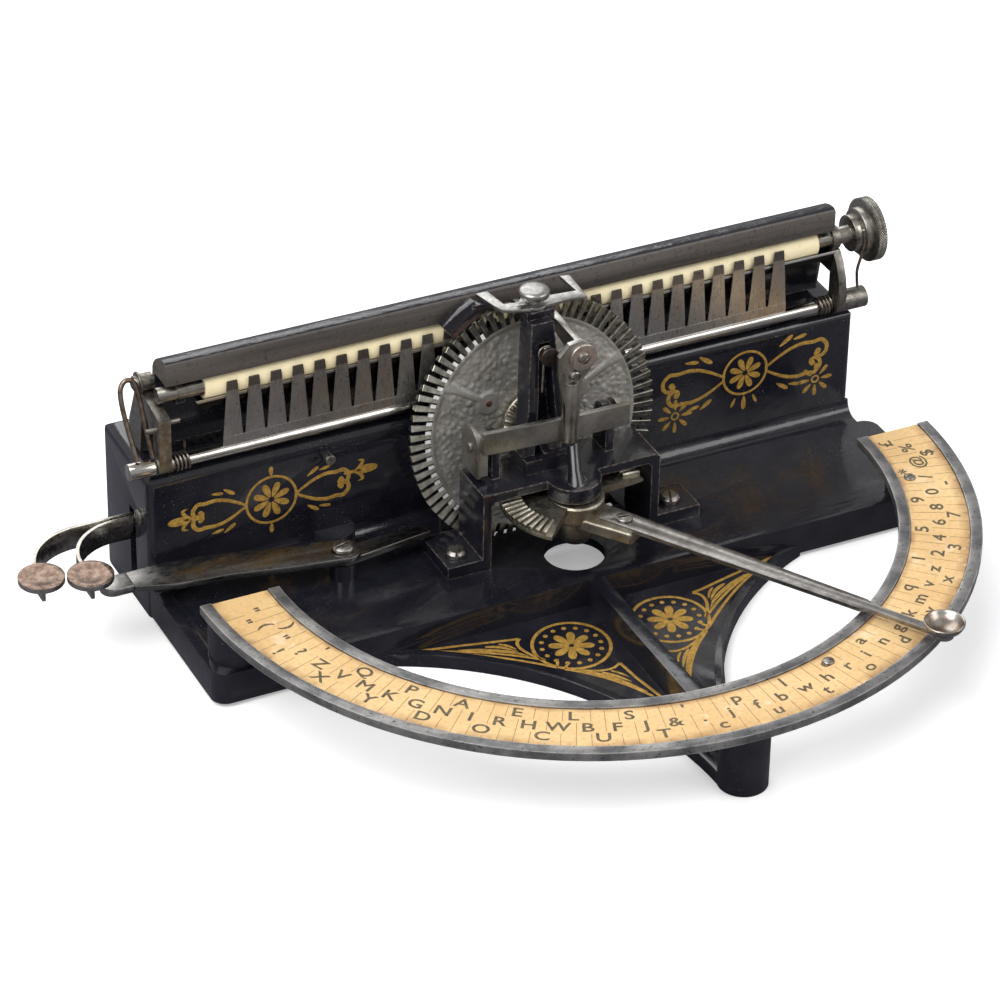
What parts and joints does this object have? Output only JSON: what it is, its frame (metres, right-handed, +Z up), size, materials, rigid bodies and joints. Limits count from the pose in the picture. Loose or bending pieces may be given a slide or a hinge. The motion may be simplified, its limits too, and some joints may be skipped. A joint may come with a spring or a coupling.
{
  "type": "index typewriter",
  "caption": "Index typewriter: a pointer swung over a half-round index turns a fingered type wheel; keys strike and space a sliding roller carriage.",
  "frame": {"origin": "on the table, under the middle of the whole machine's box", "axes": "+X right along the carriage as the typist sees it, +Y to the back of the machine, +Z up"},
  "size_m": [0.3084, 0.2064, 0.0992],
  "materials": {
    "black_enamel": "gloss black enamel on cast iron",
    "black_steel": "black enamel on steel, edges worn to bare metal",
    "dull_nickel": "dull old nickel plate, slightly yellow",
    "grey_ring": "grey, matt, worn",
    "card": "varnished card, matt",
    "bright_nickel": "bright nickel",
    "steel": "bare steel, aged",
    "old_wire": "browned spring wire",
    "cream_sleeve": "cream, matt",
    "dark_bar": "dark brown-grey front, gloss black back",
    "ink_felt": "inked felt"
  },
  "bodies": {
    "base": {"base_casting": "black_enamel", "base_cover": "black_steel", "wall_stud": "steel", "end_screw": "steel", "index_channel": "grey_ring", "index_card": "card", "index_screws": "steel", "bridge_bracket": "black_steel", "bridge_screws": "steel", "column": "black_steel", "column_stud": "steel", "column_spring": "old_wire", "guide_plate": "bright_nickel", "thumb_screw": "bright_nickel", "ink_arm": "black_steel", "ink_pad": "ink_felt", "stop_pin": "black_steel", "pointer_stud": "steel", "lever_screw": "steel", "arm_stop": "steel", "guide_block": "black_enamel", "key_block": "black_enamel", "key_pin": "steel", "yoke_pins": "steel", "pawl_pin": "steel"},
    "pointer": {"pointer_gear": "dull_nickel", "pointer_blade": "steel", "finger_cup": "steel", "pointer_screw": "steel"},
    "type_wheel": {"wheel_disc": "dull_nickel", "wheel_fingers": "steel", "wheel_back": "black_steel", "wheel_pinion": "dull_nickel", "wheel_shaft": "steel", "wheel_rivets": "steel"},
    "yoke": {"yoke_strap": "dull_nickel", "hammer_lever": "dull_nickel", "yoke_washer": "bright_nickel", "yoke_screws": "steel"},
    "carriage": {"platen_bar": "dark_bar", "left_bracket": "dull_nickel", "right_bracket": "dull_nickel", "back_board": "black_steel", "carriage_rail": "steel", "feed_plate": "bright_nickel", "detent_spring": "old_wire", "end_spool": "old_wire", "comb_springs": "old_wire"},
    "feed_roller": {"feed_sleeve": "cream_sleeve", "feed_shaft": "steel", "feed_knob": "steel"},
    "comb": {"comb_rod": "steel", "paper_comb": "dull_nickel", "hairpin_handle": "old_wire"},
    "print_key_body": {"print_key": "dull_nickel"},
    "space_key_body": {"space_key": "dull_nickel"},
    "release": {"release_lever": "dull_nickel", "lever_tip": "bright_nickel"},
    "pawl": {"escape_pawl": "steel"},
    "drum": {"spring_drum": "steel"}
  },
  "joints": [
    {"name": "pointer_swing", "type": "hinge", "parent": "base", "child": "pointer", "pos_m": [0.0242, 0.02675, 0.032], "axis": [0, 0, 1], "range_deg": [-118, 53]},
    {"name": "type_wheel_turn", "type": "hinge", "parent": "base", "child": "type_wheel", "pos_m": [0.022, 0.05525, 0.0475], "axis": [0, 0.9919, -0.1271], "range_deg": [-240, 110]},
    {"name": "print_key_press", "type": "hinge", "parent": "base", "child": "print_key_body", "pos_m": [-0.0758, 0.07975, 0.0285], "axis": [0, -1, 0], "range_deg": [0, 5], "stiffness_Nm_per_rad": 0.6},
    {"name": "yoke_strike", "type": "hinge", "parent": "base", "child": "yoke", "pos_m": [0.0242, 0.04175, 0.0524], "axis": [-1, 0, 0], "range_deg": [0, 3.5]},
    {"name": "space_key_press", "type": "hinge", "parent": "base", "child": "space_key_body", "pos_m": [-0.0758, 0.07775, 0.0285], "axis": [0, -1, 0], "range_deg": [0, 5], "stiffness_Nm_per_rad": 0.6},
    {"name": "pawl_swing", "type": "hinge", "parent": "base", "child": "pawl", "pos_m": [0.0642, 0.08425, 0.046], "axis": [0, -1, 0], "range_deg": [0, 5]},
    {"name": "carriage_slide", "type": "slide", "parent": "base", "child": "carriage", "axis": [1, 0, 0], "range_m": [-0.08, 0.08]},
    {"name": "drum_turn", "type": "hinge", "parent": "base", "child": "drum", "pos_m": [0.0942, 0.08375, 0.034], "axis": [0, 0, 1], "range_deg": [-390, 390]},
    {"name": "feed_roller_turn", "type": "hinge", "parent": "carriage", "child": "feed_roller", "pos_m": [0.0242, 0.06875, 0.0806], "axis": [1, 0, 0], "continuous": true},
    {"name": "comb_release", "type": "hinge", "parent": "carriage", "child": "comb", "pos_m": [0.0242, 0.06425, 0.058], "axis": [1, 0, 0], "range_deg": [0, 1.5], "stiffness_Nm_per_rad": 0.8},
    {"name": "lever_swing", "type": "hinge", "parent": "base", "child": "release", "pos_m": [-0.0488, 0.04575, 0.022], "axis": [0, 0, 1], "range_deg": [0, 6]}
  ],
  "couplings": [
    {"joint": "type_wheel_turn", "follows": "pointer_swing", "ratio": 2},
    {"joint": "yoke_strike", "follows": "print_key_press", "ratio": 0.7},
    {"joint": "pawl_swing", "follows": "space_key_press", "ratio": 1},
    {"joint": "drum_turn", "follows": "carriage_slide", "rad_per_m": 83.333}
  ]
}
